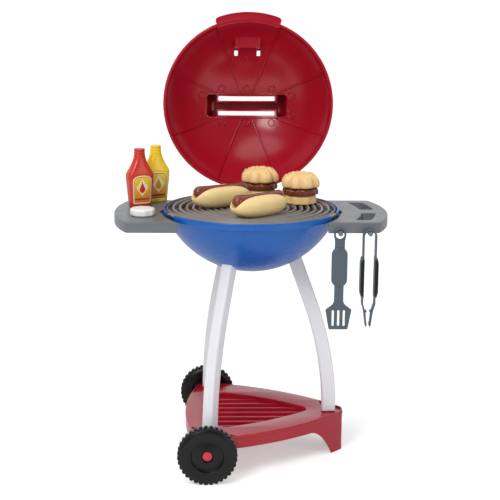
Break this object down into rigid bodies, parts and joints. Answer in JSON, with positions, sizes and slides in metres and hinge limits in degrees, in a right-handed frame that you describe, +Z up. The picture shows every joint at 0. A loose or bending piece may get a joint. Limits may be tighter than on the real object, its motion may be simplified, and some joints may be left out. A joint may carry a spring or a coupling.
{
  "type": "toy barbecue grill",
  "caption": "Kettle-style toy barbecue: domed lid on a back hinge, round bowl with ribbed grate, curved legs, wheeled tray, side shelves, hanging tools and play food.",
  "frame": {"origin": "middle of the bounding box's base, on the floor", "axes": "+Z up, +X to the grill's right as seen from the front, +Y from the front to the lid's hinge"},
  "size_m": [0.5318, 0.5648, 0.8628],
  "materials": {
    "red_plastic": "satin moulded plastic, deep red",
    "blue_plastic": "satin moulded plastic, mid blue",
    "grey_plastic": "fine-textured moulded plastic, mid grey",
    "grate_plastic": "moulded plastic, warm grey",
    "white_plastic": "moulded plastic, off-white",
    "black_plastic": "moulded plastic, black",
    "slate_plastic": "moulded plastic, blue-grey",
    "steel": "plain steel rod",
    "bread_plastic": "blow-moulded plastic, pale bread yellow",
    "sausage_plastic": "glossy plastic, red-brown",
    "bun_plastic": "blow-moulded plastic, golden bun",
    "patty_plastic": "moulded plastic, brown",
    "ketchup_plastic": "moulded plastic, tomato red",
    "mustard_plastic": "moulded plastic, yellow",
    "butter_plastic": "moulded plastic, white"
  },
  "bodies": {
    "stand": {"grill_bowl": "blue_plastic", "hinge_pin": "steel", "left_shelf": "grey_plastic", "right_shelf": "grey_plastic", "leg_right": "white_plastic", "leg_back_left": "white_plastic", "leg_front_left": "white_plastic", "base_tray": "red_plastic", "axle": "steel", "axle_cap_front": "red_plastic", "axle_cap_back": "red_plastic"},
    "lid": {"lid": "red_plastic"},
    "wheel_front": {"wheel_front": "black_plastic"},
    "wheel_back": {"wheel_back": "black_plastic"},
    "spatula": {"spatula": "slate_plastic"},
    "tongs": {"tongs_bow": "slate_plastic"},
    "tongs_left": {"tongs_arm_left": "slate_plastic", "tongs_grip_left": "black_plastic"},
    "tongs_right": {"tongs_arm_right": "slate_plastic", "tongs_grip_right": "black_plastic"},
    "grate": {"cooking_grate": "grate_plastic"},
    "bun_1": {"hotdog_bun_1": "bread_plastic"},
    "sausage_1": {"sausage_1": "sausage_plastic"},
    "bun_2": {"hotdog_bun_2": "bread_plastic"},
    "sausage_2": {"sausage_2": "sausage_plastic"},
    "burger_1_bottom": {"burger_1_bottom": "bun_plastic"},
    "burger_1_patty": {"burger_1_patty": "patty_plastic"},
    "burger_1_top": {"burger_1_top": "bun_plastic"},
    "burger_2_bottom": {"burger_2_bottom": "bun_plastic"},
    "burger_2_patty": {"burger_2_patty": "patty_plastic"},
    "burger_2_top": {"burger_2_top": "bun_plastic"},
    "ketchup_bottle": {"ketchup_bottle": "ketchup_plastic"},
    "mustard_bottle": {"mustard_bottle": "mustard_plastic"},
    "butter_pat": {"butter_pat": "butter_plastic"}
  },
  "joints": [
    {"name": "lid_hinge", "type": "hinge", "parent": "stand", "child": "lid", "pos_m": [0, 0.09707, 0.496], "axis": [-1, 0, 0], "range_deg": [-98.6, 0]},
    {"name": "wheel_front_spin", "type": "hinge", "parent": "stand", "child": "wheel_front", "pos_m": [-0.085, -0.27192, 0.057], "axis": [0, 1, 0], "continuous": true},
    {"name": "wheel_back_spin", "type": "hinge", "parent": "stand", "child": "wheel_back", "pos_m": [-0.085, 0.10207, 0.057], "axis": [0, 1, 0], "continuous": true},
    {"name": "spatula_swing", "type": "hinge", "parent": "stand", "child": "spatula", "pos_m": [0.1624, -0.20993, 0.4722], "axis": [0, -1, 0], "range_deg": [-25, 5]},
    {"name": "tongs_swing", "type": "hinge", "parent": "stand", "child": "tongs", "pos_m": [0.218, -0.21193, 0.4722], "axis": [0, -1, 0], "range_deg": [-5, 25]},
    {"name": "tongs_squeeze_left", "type": "hinge", "parent": "tongs", "child": "tongs_left", "pos_m": [0.2064, -0.21193, 0.452], "axis": [0, -1, 0], "range_deg": [0, 0.7]},
    {"name": "tongs_squeeze_right", "type": "hinge", "parent": "tongs", "child": "tongs_right", "pos_m": [0.2296, -0.21193, 0.452], "axis": [0, 1, 0], "range_deg": [0, 0.7]},
    {"name": "grate_lift", "type": "slide", "parent": "stand", "child": "grate", "axis": [0, 0, 1], "range_m": [0, 0.12]},
    {"name": "bun_1_lift", "type": "slide", "parent": "grate", "child": "bun_1", "axis": [0, 0, 1], "range_m": [0, 0.1]},
    {"name": "sausage_1_lift", "type": "slide", "parent": "bun_1", "child": "sausage_1", "axis": [0, 0, 1], "range_m": [0, 0.06]},
    {"name": "bun_2_lift", "type": "slide", "parent": "grate", "child": "bun_2", "axis": [0, 0, 1], "range_m": [0, 0.1]},
    {"name": "sausage_2_lift", "type": "slide", "parent": "bun_2", "child": "sausage_2", "axis": [0, 0, 1], "range_m": [0, 0.06]},
    {"name": "burger_1_lift", "type": "slide", "parent": "grate", "child": "burger_1_bottom", "axis": [0, 0, 1], "range_m": [0, 0.1]},
    {"name": "patty_1_lift", "type": "slide", "parent": "burger_1_bottom", "child": "burger_1_patty", "axis": [0, 0, 1], "range_m": [0, 0.04]},
    {"name": "crown_1_lift", "type": "slide", "parent": "burger_1_patty", "child": "burger_1_top", "axis": [0, 0, 1], "range_m": [0, 0.04]},
    {"name": "burger_2_lift", "type": "slide", "parent": "grate", "child": "burger_2_bottom", "axis": [0, 0, 1], "range_m": [0, 0.1]},
    {"name": "patty_2_lift", "type": "slide", "parent": "burger_2_bottom", "child": "burger_2_patty", "axis": [0, 0, 1], "range_m": [0, 0.04]},
    {"name": "crown_2_lift", "type": "slide", "parent": "burger_2_patty", "child": "burger_2_top", "axis": [0, 0, 1], "range_m": [0, 0.04]},
    {"name": "ketchup_lift", "type": "slide", "parent": "stand", "child": "ketchup_bottle", "axis": [0, 0, 1], "range_m": [0, 0.15]},
    {"name": "mustard_lift", "type": "slide", "parent": "stand", "child": "mustard_bottle", "axis": [0, 0, 1], "range_m": [0, 0.15]},
    {"name": "butter_lift", "type": "slide", "parent": "stand", "child": "butter_pat", "axis": [0, 0, 1], "range_m": [0, 0.15]}
  ],
  "couplings": [
    {"joint": "tongs_squeeze_right", "follows": "tongs_squeeze_left", "ratio": 1}
  ]
}
